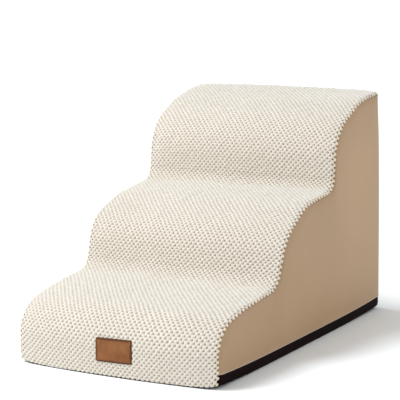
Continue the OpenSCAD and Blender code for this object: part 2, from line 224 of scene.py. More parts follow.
def add_values(piece, name, values):
    """Keeps one number for each vertex, which a material can read."""
    piece.data.attributes.new(name, "FLOAT", "POINT").data.foreach_set("value", np.ravel(values))

def fix_normals(piece):
    """Turns all faces of a closed piece outwards."""
    bm = bmesh.new()
    bm.from_mesh(piece.data)
    bmesh.ops.recalc_face_normals(bm, faces=bm.faces)
    bm.to_mesh(piece.data)
    bm.free()

def thicken(piece, thickness):
    """Gives an open grid its thickness, on the inner side."""
    skin = piece.modifiers.new("cloth_thickness", "SOLIDIFY")
    skin.thickness, skin.offset = thickness, -1

def belongs(piece, node, body="stairs"):
    """Hangs the piece on the empty of the body that carries it, and hides the solid it stands for.
    """
    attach(piece, body)
    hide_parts(node)

# %% [markdown]
# ## The tufted sheet
# The fabric of the treads is knitted with round tufts in staggered rows, with narrow dark pits
# between them. A displacement modifier with a texture could raise them, but a height worked out
# from two cosines gives exactly the pitch of the real tufts, lets each one differ a little, and
# runs on round the side edge, where the tufts stand over the tan cloth like beads.

# %% The height of the tufts
EDGE_X, EDGE_R, EDGE_TUFT = 0.1822, 0.0016, 0.0036   # side of the sheet, its radius, with a tuft
BEAD_W = EDGE_X - EDGE_R + EDGE_TUFT * np.pi * 5 / 12   # along the cloth, middle to last tufts
PITCH_X, PITCH_S = 2 * BEAD_W / 43, 0.00952          # two tufts for each such cell
PIT_N, TUFT_H = 0.0015, 0.0035                       # height of the pits over the foam, of the tufts
SAG_S = np.array([0, 60, 110, 180, 250, 293, 322, 380, 452, 517, 555, 585, 674, 704, 725,
                  810]) / 1000
SAG_MM = (7, 7, 9, 12, 6, 2, 1, 0, 0, -3, -6, -7, -7, -5, -3, 0)
PULL_S = np.array([0, 60, 110, 260, 300, 360, 420, 530, 600, 690, 810]) / 1000
PULL_MM = (0, 1.8, 3.3, -12.5, -12.5, -13.7, -11.3, -18, -18.7, -16, -19.6)

def soft_noise(u, v, cell_u, cell_v, seed):
    """Random values on a coarse grid, blended smoothly between its points."""
    random = np.random.default_rng(seed)
    i, j = u / cell_u, v / cell_v
    i, j = i - i.min(), j - j.min()
    table = random.uniform(-1, 1, (int(i.max()) + 2, int(j.max()) + 2))
    i0, j0 = i.astype(int), j.astype(int)
    a, b = smooth_step(i - i0), smooth_step(j - j0)
    return ((table[i0, j0] * (1 - a) + table[i0 + 1, j0] * a) * (1 - b)
            + (table[i0, j0 + 1] * (1 - a) + table[i0 + 1, j0 + 1] * a) * b)

def tuft_height(w, s):
    """Half of one plus the product of two cosines puts a tuft at each corner and middle of a cell.
    One minus a power of what is missing widens the tufts and narrows the pits, less at the edge,
    where the last tufts stand apart like beads. The rows sag towards the sides and lie wider apart
    on the treads, and the columns are denser on the left. The last tufts run on down the fold."""
    w = np.clip(w, -BEAD_W, BEAD_W)
    s = s + along(s, PULL_MM, PULL_S) - along(s, SAG_MM, SAG_S) * (w / HALF_W) ** 2
    w = w + 0.03 * (BEAD_W ** 2 - w ** 2) / HALF_W
    w = w + 0.0005 * soft_noise(w, s, 0.011, 0.015, 3) * (np.abs(w) < BEAD_W - 0.006)
    s = s + 0.0006 * soft_noise(w, s, 0.010, 0.012, 4)
    plain = (1 + np.cos(2 * np.pi * w / PITCH_X) * np.cos(2 * np.pi * s / PITCH_S)) / 2
    power = 3.4 - 1.6 * smooth_step((np.abs(w) - BEAD_W + 0.0050) / 0.0030)
    return (1 - (1 - plain) ** power) * (1 + 0.18 * soft_noise(w, s, PITCH_X / 2, PITCH_S / 2, 5))

# %% [markdown]
# Across the width the sheet is flat, and then it rounds down to the side seam. A path in the
# cross-section gives each column its place, its height over the foam, and the way its tufts point.

# %% The path across the width
SIDE_DROP, DRAW = 0.0012, 0.0014

def path_across():
    """From the middle outwards: flat, less what the seam draws in by the square of the share of
    the last 26 mm, then a quarter of a circle, then a short fall. Mirrored for the other side."""
    flat_end = EDGE_X - EDGE_R
    flat = np.linspace(0, flat_end, 161)
    draw = DRAW * np.clip((flat - (flat_end - 0.026)) / 0.026, 0, 1) ** 2
    turn = np.linspace(0, np.pi / 2, 9)[1:]
    fall = np.linspace(0, SIDE_DROP, 4)[1:]
    x = np.concatenate([flat, flat_end + EDGE_R * np.sin(turn), np.full(3, EDGE_X)])
    low = PIT_N - DRAW - EDGE_R
    n = np.concatenate([PIT_N - draw, low + EDGE_R * np.cos(turn), low - fall])
    tip = np.concatenate([0 * flat, turn, np.full(3, np.pi / 2)])
    w = np.concatenate([flat, flat_end + EDGE_TUFT * turn, flat_end + EDGE_TUFT * np.pi / 2 + fall])
    grow = 1 - 0.9 * smooth_step((w - (flat_end + 0.0056)) / 0.0014)
    mirror = lambda v, sign: np.concatenate([sign * v[:0:-1], v])
    return mirror(x, -1), mirror(n, 1), mirror(tip, -1), mirror(w, -1), mirror(grow, 1)

across_x, across_n, across_tip, across_w, across_grow = path_across()
print("columns across the sheet:", len(across_x))

# %% Where the leather patch presses the tufts down
PATCH_W, PATCH_H, PATCH_R = 0.067, 0.0360, 0.003
PATCH_X, PATCH_S, PATCH_TILT = 0.0035, 0.0396, 0.021  # its middle across and up, its slope

def under_patch(x, s):
    """One under the patch, zero 2.5 mm outside its edges."""
    beside = np.maximum(np.abs(x - PATCH_X) - PATCH_W / 2, np.abs(s - PATCH_S) - PATCH_H / 2)
    return 1 - smooth_step((beside + 0.0005) / 0.003)

# %% The whole sheet as one grid
HEM, ROW_STEP = 0.004, PITCH_S / 8  # the rounding of both ends, and the rows' distance

def hem(d):
    """The root of one minus a square: nothing at the end of the sheet, one a hem's width in."""
    return np.sqrt(np.clip(1 - (1 - np.clip(d / HEM, 0, 1)) ** 2, 0, 1))

def tufted_grid(step):
    """Rows run across, one every step of the outline. Each point leaves the outline by the pit's
    height and the tuft's, thinned by the hem at both ends and pressed flat at the top back corners.
    The shade is the tuft's height. It darkens the pits, partly the fabric's own darker base and
    partly painted shade. The painted shade is darker at the seam and on the right, and paler at the
    back. The bead is painted light that brightens the last tufts: one on the right side, and less on
    the left ones."""
    s = np.linspace(-0.0004, LENGTH, int(round(LENGTH / step)) + 1)
    S, W = np.meshgrid(s, across_w, indexing="ij")
    X = np.broadcast_to(across_x, S.shape)
    past_end, past_bead = S - LENGTH, np.abs(W) - BEAD_W
    loft = tuft_height(W, S) * across_grow
    thin = np.minimum(hem(S + 0.0018), hem(0.0004 - past_end))
    thin = thin * (1 - 0.30 * (np.abs(X) / HALF_W) ** 6 * smooth_step((past_end + 0.035) / 0.030))
    pressed = TUFT_H * (1 - 0.3 * under_patch(X, S))
    n = (across_n + pressed * loft * np.cos(across_tip)) * thin
    n += 0.0006 * soft_noise(W, S, 0.06, 0.05, 6) * thin * (1 - 0.9 * (np.abs(across_tip) > 0))
    yz = above_outline(s[:, None], n + swell(X, S))
    yz[..., 0] = np.minimum(yz[..., 0], BACK)
    points = placed(X + TUFT_H * loft * np.sin(across_tip) * (0.4 + 0.6 * thin), yz)
    # Painted shade in the pits: darker at the seam and near the top back, lighter towards the left
    # where the lamp falls, and lifted on the last 10 mm at the back. The bead is painted light on
    # the last tufts.
    seam, pit = smooth_step((past_bead + 0.0095) / 0.004), 1 - np.clip(loft, 0, 1)
    shade = loft - 0.6 * seam * pit ** 1.4
    shade += (1 - seam) * pit * (0.10 - 0.12 * X / HALF_W)
    shade += 0.6 * (1 - seam) * smooth_step((past_end + 0.010) / 0.008)
    shade -= 0.7 * seam * pit * smooth_step((past_end + 0.060) / 0.025)
    bead = smooth_step((past_bead + 0.0036) / 0.0020) * np.where(W > 0, 1, 0.3)
    return s, lifted(points), shade, bead

sheet_s, sheet_points, sheet_shade, sheet_bead = tufted_grid(ROW_STEP)
print("tufted sheet:", sheet_points.shape[:2], "points")

# %% [markdown]
# One mesh could hold the sheet, but it would be heavy, so it is cut in the valleys, one piece for
# each step. Each is closed: its rows run on round the inside, and the ends are capped. The shading
# directions come from the whole grid, so the cuts don't show.

# %% The sheet's three pieces
def grid_normals(points):
    """Cross product of the steps along the rows and along the columns, of unit length."""
    n = np.cross(np.gradient(points, axis=1), np.gradient(points, axis=0))
    return n / np.maximum(np.linalg.norm(n, axis=-1, keepdims=True), 1e-12)

def inner_side(s, columns=13):
    """Points that close each row on the inside, from the right edge back to the left."""
    x = np.linspace(EDGE_X - 0.0022, -EDGE_X + 0.0022, columns)
    n = np.full(columns, 0.0002)
    n[[0, -1]] = across_n[0]
    return lifted(placed(x, above_outline(s[:, None], n + swell(x, s[:, None]))))

sheet_normals = grid_normals(sheet_points)
sheet_inside = inner_side(sheet_s)

def sheet_piece(name, first, last):
    """The rows from first to last as one closed mesh, with its shading directions and values."""
    outer, inside = sheet_points[first:last], sheet_inside[first:last]
    piece = add_tube(name, np.concatenate([outer, inside], axis=1))
    inward = np.zeros_like(inside)
    inward[..., 1:] = -outline_at(sheet_s[first:last])[1][:, None]
    normals = np.concatenate([sheet_normals[first:last], inward], axis=1)
    piece.data.normals_split_custom_set_from_vertices(normals.reshape(-1, 3).tolist())
    for key, values, within in (("loft", sheet_shade, 0.5), ("bead", sheet_bead, 0.0)):
        plain = np.full(inside.shape[:2], within)
        add_values(piece, key, np.concatenate([values[first:last], plain], axis=1))
    belongs(piece, "tread_cover")
    print(name, len(piece.data.polygons), "faces")
    return piece

cuts = [int(np.argmin(np.abs(sheet_s - s))) for s in (0, place_s[4], place_s[10], LENGTH)]
tread_pieces = [sheet_piece("tufted_%s_step" % name, first, last + 1) for name, first, last in
                zip(("first", "second", "third"), cuts, cuts[1:])]

# %% [markdown]
# ## Smooth sides
# The sides are one layer of coated cloth, pulled flat over the foam. Each is a ruled surface: every
# point of the sewn edge is joined to one of the band below it. The foam pushes it out by about a
# millimetre in the middle, which bends its reflections.

# %% The side cloth
UNDER_SEAM = np.array([0, 0.3, 0.8, 1.6, 3.0, 6.0, 12.0]) / 1000         # rows near the seam
OVER_BAND = np.array([16.0, 10, 7, 5.6, 4.6, 3.8, 3.0, 1.5, 0]) / 1000   # rows near the band
CLOTH, CORNER, TUCK = 0.0014, 0.004, 0.003      # thickness, round back corner, hidden by the band

def side_grid(sign, columns=260, rows=28):
    """Straight lines from the sewn edge down to the band, closer together near the band, pushed out
    by the sine of the height, turned in at the seam and the back, and folded at the band."""
    s = np.linspace(BAND_TOP - BASE, LENGTH, columns)
    top = above_outline(s, swell(sign * HALF_W, s) - 0.0015)
    top[:, 0] = np.minimum(top[:, 0], BACK_Y - 0.0002)
    low = np.c_[np.linspace(FRONT, BACK_Y - 0.0002, columns), np.full(columns, BAND_TOP - TUCK)]
    tall = np.linalg.norm(top - low, axis=-1)
    fit = np.minimum(1, tall / 0.040)
    under_seam, over_band = fit * UNDER_SEAM[:, None], tall - fit * OVER_BAND[:, None]
    between = np.linspace(0, 1, rows)[1:-1, None]
    between = under_seam[-1] * (1 - between) + over_band[0] * between
    v = (np.concatenate([under_seam, between, over_band]) / tall)[..., None]
    yz = top * (1 - v) + low * v
    depth = np.minimum(np.linalg.norm(yz - top, axis=-1), 1)
    height, near_back = yz[..., 1] - BAND_TOP, BACK - yz[..., 0]
    bulge = np.sin(np.pi * np.clip((yz[..., 1] - 0.01) / 0.39, 0, 1)) * np.clip(depth / 0.05, 0, 1)
    fold = 0.0005 * np.exp(-((height - 0.0016) / 0.0012) ** 2)
    drawn = 0.0035 * (1 - np.clip(depth / 0.020, 0, 1)) ** 2 * smooth_step(near_back / 0.015)
    x = SIDE_X + 0.0012 * bulge + fold
    x = x - np.maximum(drawn, round_in(near_back, CORNER)) - round_in(depth + 0.0003, 0.0014)
    return lifted(placed(sign * x, yz)), depth, height

def add_panel(name, node, flip, points, from_seam, over_band):
    """A grid of tan cloth, flipped where its faces would look inwards, with two values a point."""
    faces = grid_faces(*points.shape[:2])
    piece = add_piece(name, points, faces[:, ::-1] if flip else faces)
    add_values(piece, "from_seam", from_seam)
    add_values(piece, "over_band", over_band)
    thicken(piece, CLOTH)
    belongs(piece, node)
    return piece

side_right = add_panel("side_cloth_right", "side_panel_right", True, *side_grid(1))
side_left = add_panel("side_cloth_left", "side_panel_left", False, *side_grid(-1))
print("side cloth:", len(side_right.data.polygons), "faces each")

# %% [markdown]
# ## The back
# The back is cut in two at the zipper, so that the cover comes off the foam. Each half has its edge
# folded under along the slot in which the zipper lies. A height for each column gives the slot's
# outline, and the rows lie closer together beside it.

# %% The back cloth
ZIP_Z, SLOT_HALF, SLOT_H, BACK_TOP = 0.048, 0.1643, 0.008, 0.3955

def slot_edge(x):
    """Half the slot's height along the zipper, closing to nothing past its ends."""
    return SLOT_H * (1 - smooth_step((np.abs(x) - SLOT_HALF) / 0.004))

def back_grid(up, columns=190, rows=70):
    """Rows from the slot's edge to the top seam, or down to the band, swelling out between. The
    lower half counts as 20 mm further from a seam, so that the painted seam shade doesn't darken it."""
    x = (SIDE_X - 0.0002) * np.linspace(-1, 1, columns)
    near = ZIP_Z + up * slot_edge(x)
    far = BACK_TOP + swell(x, LENGTH) if up > 0 else BAND_TOP - TUCK
    v = np.linspace(0, 1, rows)[:, None] ** 1.2
    z = near * (1 - v) + far * v
    X = np.broadcast_to(x, z.shape)
    bulge = np.sin(np.pi * np.clip((z - 0.06) / 0.34, 0, 1)) * np.cos(np.pi * X / (2 * HALF_W))
    y = BACK_Y + 0.0022 * bulge - round_in(SIDE_X - np.abs(X), CORNER)
    y = y - round_in(np.abs(z - near) + 0.0002, 0.0009)
    points = lifted(np.stack([X, y, z], -1))
    z = points[..., 2]
    return points, np.abs(z[-1] - z) + 0.02 * (up < 0), z - BAND_TOP

back_upper = add_panel("back_cloth_upper", "back_panel_upper", True, *back_grid(1))
back_lower = add_panel("back_cloth_lower", "back_panel_lower", False, *back_grid(-1))
print("back cloth:", len(back_upper.data.polygons), "faces each")

# %% [markdown]
# ## The dark base
# A strip of dark coated cloth runs round the foot of both sides and the back, over a non-slip cloth
# with small raised dots. The strip is a profile carried along a path: its top edge is folded, its
# face bulges slightly, and its lower edge turns under the stairs.

# %% The band
def foot_path(corner=0.009, front=0.006, arc=10):
    """The path of the foot and its outward direction, from the front of the right side round the
    back to the front of the left side, with round corners. The front ones stop after 60 degrees."""
    def bend(x, y, radius, angles):
        out = np.stack([np.cos(angles), np.sin(angles)], -1)
        return np.array([x, y]) + radius * out, out
    side_y = np.linspace(FRONT - 0.0012 + front, BACK - corner, 90)[:-1]
    back_x = np.linspace(HALF_W - corner, 0, 31)[1:]
    parts = [bend(HALF_W - front, side_y[0], front, np.linspace(-np.pi / 3, 0, arc + 1)[:-1]),
             (np.c_[np.full(len(side_y), HALF_W), side_y], np.tile([1.0, 0], (len(side_y), 1))),
             bend(HALF_W - corner, BACK - corner, corner, np.linspace(0, np.pi / 2, arc + 1)),
             (np.c_[back_x, np.full(len(back_x), BACK)], np.tile([0, 1.0], (len(back_x), 1)))]
    halves = [np.concatenate(part) for part in zip(*parts)]
    return [np.concatenate([half, half[-2::-1] * [-1, 1]]) for half in halves]

def band_profile(low=0.0035, high=0.0168):
    """Closed cross-section (outward, up): rounded lower edge, bulging face, folded top, inside."""
    face_z = np.linspace(low, high, 8)
    face = np.c_[0.0007 * np.sin(np.pi * (face_z - low) / (high - low)), face_z]
    t, u = np.linspace(0, np.pi, 6)[1:-1], np.linspace(0, np.pi / 2, 5)[:0:-1]
    fold = np.c_[-0.0010 + 0.0010 * np.cos(t), 0.0170 + 0.0010 * np.sin(t)]
    under = np.c_[-0.0030 + 0.0030 * np.cos(u), low - 0.0031 * np.sin(u)]
    return np.concatenate([under, face, fold, [[-0.0021, 0.0165], [-0.0021, 0.0040]]])

foot_xy, foot_out = foot_path()
profile = band_profile()
band_points = np.empty((len(foot_xy), len(profile), 3))
band_points[..., :2] = foot_xy[:, None] + foot_out[:, None] * profile[None, :, :1]
band_points[..., 2] = profile[:, 1]
band = add_tube("foot_band", lifted(band_points))
fix_normals(band)
belongs(band, "base_band")
print("band:", len(foot_xy), "stations of", len(profile), "points")

# %% [markdown]
# The base cloth is a thin closed plate with a rounded rim. Its front edge is the thin dark line
# under the tufts. The dots that keep it from slipping are hundreds of the same low dome, so each has
# only a few faces.

# %% The base cloth and its dots
def rounded_loop(half_x, half_y, radius, arc, steps):
    """Points round a rectangle, anticlockwise: arc points to each round corner, and each straight
    side cut into steps."""
    t = np.linspace(0, np.pi / 2, arc)
    quarter = np.stack([np.cos(t), np.sin(t)], -1) * radius + [half_x - radius, half_y - radius]
    half = np.concatenate([quarter, quarter[::-1] * [-1, 1]])
    loop = np.concatenate([half, -half])
    return np.concatenate([
        a + (b - a) * np.linspace(0, 1, 1 if (k + 1) % arc else steps, endpoint=False)[:, None]
        for k, (a, b) in enumerate(zip(loop, np.roll(loop, -1, axis=0)))])

def add_base(low=0.0006, high=0.0021):
    """Rings from the middle of the underside out to the rim and back to the middle above. The
    front follows the foam's swelling."""
    loop = rounded_loop(HALF_W - 0.0010, BACK - 0.0014, 0.024, arc=9, steps=24)
    loop[:, 1] -= swell(loop[:, 0], 0) * np.clip(-loop[:, 1] / BACK, 0, 1) ** 4
    shares = [0.02, 0.35, 0.6, 0.8, 0.9, 0.96, 0.99]
    rim = [(0.9974, low), (1, 0.0012), (0.99948, 0.0018), (0.99688, high)]
    rings = [(k, low) for k in shares] + rim + [(k, high) for k in shares[::-1]]
    piece = add_tube("base_cloth", lifted(np.stack([
        np.c_[loop * share, np.full(len(loop), z)] for share, z in rings])))
    fix_normals(piece)
    belongs(piece, "base_panel")
    return piece

def copied_faces(copies, size, *parts):
    """The faces of a small form of size points, once for each copy."""
    start = size * np.arange(copies)[:, None, None]
    return sum(((part + start).reshape(-1, part.shape[1]).tolist() for part in parts), [])

def add_dots(pitch=0.0125, radius=0.0021):
    """A low dome of two rings of six points and a tip, copied to every place of a grid of which
    each second row is shifted by half the pitch."""
    t, six = np.arange(6) * np.pi / 3, np.arange(6)
    ring = radius * np.c_[np.cos(t), np.sin(t)]
    dome = np.concatenate([np.c_[ring, np.full(6, 0.0007)], np.c_[0.8 * ring, np.full(6, 0.0002)],
                           [[0, 0, 0]]])
    i, j = np.meshgrid(np.arange(-14, 15), np.arange(-23, 24), indexing="ij")
    places = np.stack([(i + 0.5 * (j % 2)) * pitch, j * pitch], -1).reshape(-1, 2)
    places = places[np.all(np.abs(places) < [HALF_W - 0.010, BACK - 0.010], axis=1)]
    points = dome[None] + np.c_[places, np.zeros(len(places))][:, None]
    tips = np.c_[6 + six, 6 + (six + 1) % 6, np.full(6, 12)]
    piece = add_piece("grip_dots", lifted(points), copied_faces(
        len(places), 13, grid_faces(2, 6, loop=True), tips, six[None]))
    fix_normals(piece)
    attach(piece, "stairs")
    print("grip dots:", len(places))
    return piece

base_cloth = add_base()
grip_dots = add_dots()

# %% [markdown]
# ## Foam
# The foam fills the cover. A firm block cut as three steps carries the weight, and a softer sheet is
# bonded over it. Both are the outline moved inwards and carried across the width.

# %% The two foams
FOAM_BACK, FOAM_X = BACK_Y - PANEL - 0.0004, HALF_W - PANEL - PROUD - 0.0014
FOAM_LOW, LOOSE = 0.0035, 0.0002  # underside, and half the gap between the foams
stations = FOAM_X * np.concatenate([[-1, -0.975, -0.94], np.linspace(-0.9, 0.9, 13),
                                    [0.94, 0.975, 1]])[:, None]

def inner_line(depth, points=260):
    """The outline moved inwards by the depth, at each station across the width, and by up to 8 mm
    more towards the two side faces, so that the foam's edges are round."""
    s = np.linspace(0.0015, LENGTH, points)
    more = 0.008 * np.clip((np.abs(stations) / FOAM_X - 0.9) / 0.1, 0, 1) ** 3
    line = above_outline(s, swell(stations, s) - (depth + more))
    line[..., 0] = np.minimum(line[..., 0], FOAM_BACK)
    return line

def add_foam(name, loops, node):
    """The closed loops (y, z), one at each station from the left to the right."""
    piece = add_tube(name, lifted(placed(stations, loops)), sharp=True)
    belongs(piece, node)
    return piece

block_line = inner_line(COMFORT + LOOSE)
notch = np.array([[FOAM_BACK, 0.390], [FOAM_BACK, 0.064], [0.2925, 0.060], [0.2925, 0.034],
                  [FOAM_BACK, 0.030], [FOAM_BACK, FOAM_LOW]])      # leaves room for the zipper
notch = notch[notch[:, 1] < block_line[0, -1, 1] - 0.002]
rest = np.tile(np.concatenate([notch, [[FRONT + COMFORT, FOAM_LOW]]]), (len(stations), 1, 1))
foam_block = add_foam("foam_block", np.concatenate([block_line, rest], axis=1)[:, ::-1],
                      "support_foam")
sheet_loop = np.concatenate([inner_line(2 * LOOSE), inner_line(COMFORT - LOOSE)[:, ::-1]], axis=1)
foam_sheet = add_foam("foam_sheet", sheet_loop[:, ::-1], "comfort_foam")

# %% [markdown]
# ## The leather patch
# A small patch of brown leather is stitched to the first riser and follows its curve. Rings run
# from its middle out to its rim, which is burnished dark. Each vertex keeps its distance from the
# rim, so the material can darken it.

# %% The patch and its thread
def on_riser(x, up, n):
    """Places a point of the patch: x from its middle, up from its middle along the riser, and n
    above the faces of the tufts. The patch is sewn on 1.2 degrees askew."""
    s = PATCH_S + up + PATCH_TILT * x
    yz = above_outline(s, COVER + 0.0002 + n + swell(PATCH_X + x, s))
    return placed(PATCH_X + x - PATCH_TILT * up, yz)

def add_patch():
    """Rings of the face with a shallow groove under the stitches, a round rim, and a flat back.
    Each is the rounded outline moved in by its inset, with its height."""
    rings = [(0.017, 0.0004), (0.012, 0.0004), (0.008, 0.0004), (0.0055, 0.0004), (0.0042, 0.00035),
             (0.0036, 0.0001), (0.003, 0), (0.0024, 0.0001), (0.0018, 0.00025), (0.0011, 0.00015),
             (0.0005, 0), (0.0001, -0.0004), (0, -0.001), (0.0004, -0.002), (0.012, -0.0022)]
    points = np.stack([on_riser(*rounded_loop(
        PATCH_W / 2 - inset, PATCH_H / 2 - inset, max(PATCH_R - inset, 0.0006), 8, 12).T, n)
        for inset, n in rings])
    piece = add_tube("leather_patch", points)
    add_values(piece, "rim", np.repeat([inset for inset, _ in rings], points.shape[1]))
    fix_normals(piece)
    belongs(piece, "label_patch")
    return piece

def add_stitches(inset=0.003, stitch=0.0032, gap=0.0014, thick=0.00028):
    """Short rounded threads laid along the groove, each a tube of six sides and five rings."""
    half, middles, ways = np.array([PATCH_W, PATCH_H]) / 2 - inset, [], []
    for way in np.eye(2):
        across = way[::-1]
        number = int((2 * half @ way - 0.003) // (stitch + gap))
        at = (np.arange(number) - (number - 1) / 2) * (stitch + gap)
        for side in (-1, 1):
            middles.append(at[:, None] * way + side * (half @ across) * across)
            ways.append(np.tile(way, (number, 1)))
    middle, way = np.concatenate(middles)[:, None, None], np.concatenate(ways)[:, None, None]
    u, t, six = np.linspace(-1, 1, 5)[:, None], np.arange(6) * np.pi / 3, np.arange(6)[None]
    radius = thick * np.sqrt(np.clip(1.05 - u ** 2, 0.12, 1))
    side_by, height = radius * np.cos(t), radius * np.sin(t) + 0.00025 * (1 - u ** 2)
    flat = middle + way * (u * stitch / 2)[..., None] + way[..., ::-1] * side_by[..., None]
    piece = add_piece("patch_thread", on_riser(flat[..., 0], flat[..., 1], height), copied_faces(
        len(middle), 30, grid_faces(5, 6, loop=True), six[:, ::-1], 24 + six))
    fix_normals(piece)
    belongs(piece, "label_stitches")
    print("stitches:", len(middle))
    return piece

patch = add_patch()
patch_thread = add_stitches()

# %% [markdown]
# ## The zipper and the care label
# Two woven tapes lie behind the slot of the back. Each has a cord along its inner edge, which
# carries the teeth. A tape is a closed profile carried along the zipper. The teeth and stops of the
# solid model are right as they are. The slider and its pull are copied with rounded edges, because
# a cast part has no sharp ones.

# %% The zipper tapes
TAPE_OUT, TAPE_IN, SELVEDGE = 0.2976, 0.2968, 0.0132  # the tape's two faces, its far edge's rib

def add_tape(name, up, node, stations=341, half=0.169):
    """A flat closed profile with a round cord 1 mm from its inner edge and a low selvedge at the
    outer one. The cord waves by a twentieth of a millimetre with each stitch."""
    x, z = np.linspace(-half, half, stations)[:, None], np.linspace(0.003, 0.014, 23)
    cord = 0.00030 * np.exp(-((z - 0.0041) / 0.0006) ** 2)
    cord += 0.00010 * np.exp(-((z - SELVEDGE) / 0.0005) ** 2)
    outer = TAPE_OUT + cord + 0.00005 * np.sin(2 * np.pi * x / 0.0022) * (cord > 0.00005)
    inner = np.broadcast_to(TAPE_IN - 0.3 * cord[::-1], outer.shape)
    y = np.concatenate([outer, inner], axis=1)
    z = np.broadcast_to(ZIP_Z + up * np.concatenate([z, z[::-1]]), y.shape)
    piece = add_tube(name, placed(x, np.stack([y, z], -1)))
    fix_normals(piece)
    belongs(piece, node)
    return piece

tape_upper = add_tape("zip_tape_upper", 1, "zipper_tape_upper")
tape_lower = add_tape("zip_tape_lower", -1, "zipper_tape_lower")
print("zipper tape:", len(tape_upper.data.polygons), "faces each")

# %% The slider and its pull
def rounded_copy(node, name, body, width):
    """The node's points and triangles in a new mesh, merged, its flat faces joined, its edges
    rounded by the width."""
    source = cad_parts[node].data
    piece = add_piece(name, np.array([v.co for v in source.vertices]),
                      [list(face.vertices) for face in source.polygons], sharp=True)
    bm = bmesh.new()
    bm.from_mesh(piece.data)
    bmesh.ops.remove_doubles(bm, verts=bm.verts, dist=1e-6)
    bmesh.ops.dissolve_limit(bm, angle_limit=0.02, verts=bm.verts, edges=bm.edges)
    bm.to_mesh(piece.data)
    bm.free()
    soft = piece.modifiers.new("round_edges", "BEVEL")
    soft.width, soft.segments = width, 2
    soft.limit_method, soft.angle_limit = "ANGLE", math.radians(35)
    belongs(piece, node, body)
    print(name + ":", len(piece.data.polygons), "faces before rounding")
    return piece

slider = rounded_copy("zipper_slider", "zip_slider", "slider", 0.00018)
pull = rounded_copy("zipper_pull", "zip_pull", "pull", 0.00018)

# %% The care label
LABEL_LEFT, LABEL_W, LABEL_H = -0.1826, 0.016, 0.025

def label_grid(rows=34, columns=17):
    """A ribbon from its stitched top edge down, standing off the cloth by the square of the way
    down, a little more at one side, with a faint wave across."""
    v, u = np.meshgrid(np.linspace(0, 1, rows), np.linspace(0, 1, columns), indexing="ij")
    wave = 0.00012 * np.sin(2 * np.pi * (u + 0.5 * v)) * v
    off = 0.0005 + 0.0013 * v ** 2 * (0.55 + 0.45 * u) + wave
    return np.stack([LABEL_LEFT + LABEL_W * u, BACK_Y + off, ZIP_Z - LABEL_H * v], -1)

points = label_grid()
care_label = add_piece("care_ribbon", points, grid_faces(*points.shape[:2]))
thicken(care_label, 0.0003)
belongs(care_label, "care_label")

# %% [markdown]

# %% [markdown]
# ## Finishes
# Each material is worked out from the place on the object. Image textures could dress it too, but
# they need flattened meshes. A small class adds the nodes in short calls.

# %% Helpers for the materials
class Finish:
    """A material with one Principled shader, and short ways to add nodes to it."""

    def __init__(self, name, **sockets):
        self.material = bpy.data.materials.new(name)
        self.material.use_nodes = True
        self.nodes, self.links = self.material.node_tree.nodes, self.material.node_tree.links
        self.shader = self.nodes["Principled BSDF"]
        for socket, value in sockets.items():
            self.shader.inputs[socket.replace("_", " ")].default_value = value
        self.place = self.nodes.new("ShaderNodeTexCoord").outputs["Object"]

    def put(self, kind, inputs, output=0, **settings):
        """Adds a node and gives one of its outputs; inputs are numbers, colours or such outputs."""
        node = self.nodes.new("ShaderNode" + kind)
        for key, value in settings.items():
            setattr(node, key, value)
        for key, value in inputs.items():
            if isinstance(value, bpy.types.NodeSocket):
                self.links.new(value, node.inputs[key])
            else:
                node.inputs[key].default_value = value
        return node.outputs[output]

    def pattern(self, kind, output, scale, inputs=None, **settings):
        """A texture that is worked out from the place on the object."""
        inputs = {"Vector": self.place, "Scale": scale, **(inputs or {})}
        return self.put("Tex" + kind, inputs, output, **settings)

    def noise(self, scale, detail=3.0):
        """Cloudy values about one half."""
        return self.pattern("Noise", "Fac", scale, {"Detail": detail})

    def cells(self, scale, feature="DISTANCE_TO_EDGE"):
        """Distances within the cells of a Voronoi pattern."""
        return self.pattern("Voronoi", "Distance", scale, feature=feature)

    def waves(self, scale, way, distortion=0.0):
        """Parallel bands across the given way."""
        return self.pattern("Wave", "Fac", scale, {"Distortion": distortion}, bands_direction=way)

    def calculate(self, operation, a, b):
        """A difference or product of two values."""
        return self.put("Math", {0: a, 1: b}, operation=operation)

    def spread(self, value, start, end, low=0.0, high=1.0):
        """A value carried from the range between start and end to the one between low and high."""
        return self.put("MapRange", {"Value": value, "From Min": start, "From Max": end,
                                     "To Min": low, "To Max": high})

    def ramp(self, share, *stops):
        """Colour that changes with the share; each stop is a place and a colour."""
        colour = self.put("ValToRGB", {"Fac": share}, "Color")
        line = colour.node.color_ramp.elements
        while len(line) < len(stops):
            line.new(0.5)
        for stop, (place, tone) in zip(line, stops):
            stop.position, stop.color = place, (*tone, 1)
        return colour

    def blend(self, share, low, high, start=0.0, end=1.0):
        """Colour that goes from low to high as the share goes from start to end."""
        return self.ramp(share, (start, low), (end, high))

    def mix(self, share, a, b, how="MIX"):
        """One colour laid over another."""
        return self.put("Mix", {0: share, 6: a, 7: b}, 2, data_type="RGBA", blend_type=how)

    def times(self, first, *others):
        """Colours multiplied by one another."""
        for other in others:
            first = self.mix(1.0, first, other, "MULTIPLY")
        return first

    def bump(self, height, strength, distance, below=None):
        """Small relief that the mesh doesn't have, over another if one is given."""
        more = {"Normal": below} if below else {}
        return self.put("Bump", {"Height": height, "Strength": strength, "Distance": distance,
                                 **more}, "Normal")

    def attribute(self, name):
        """The values kept with the vertices."""
        return self.put("Attribute", {}, "Fac", attribute_name=name)

    def join(self, **sockets):
        """Sends outputs into the shader's sockets."""
        for socket, value in sockets.items():
            self.links.new(value, self.shader.inputs[socket.replace("_", " ")])
        return self.material

def dimmed(colour, share):
    """The colour times the share."""
    return tuple(share * c for c in colour)

def dress(material, *pieces):
    """Gives the pieces this material alone."""
    for piece in pieces:
        piece.data.materials.clear()
        piece.data.materials.append(material)
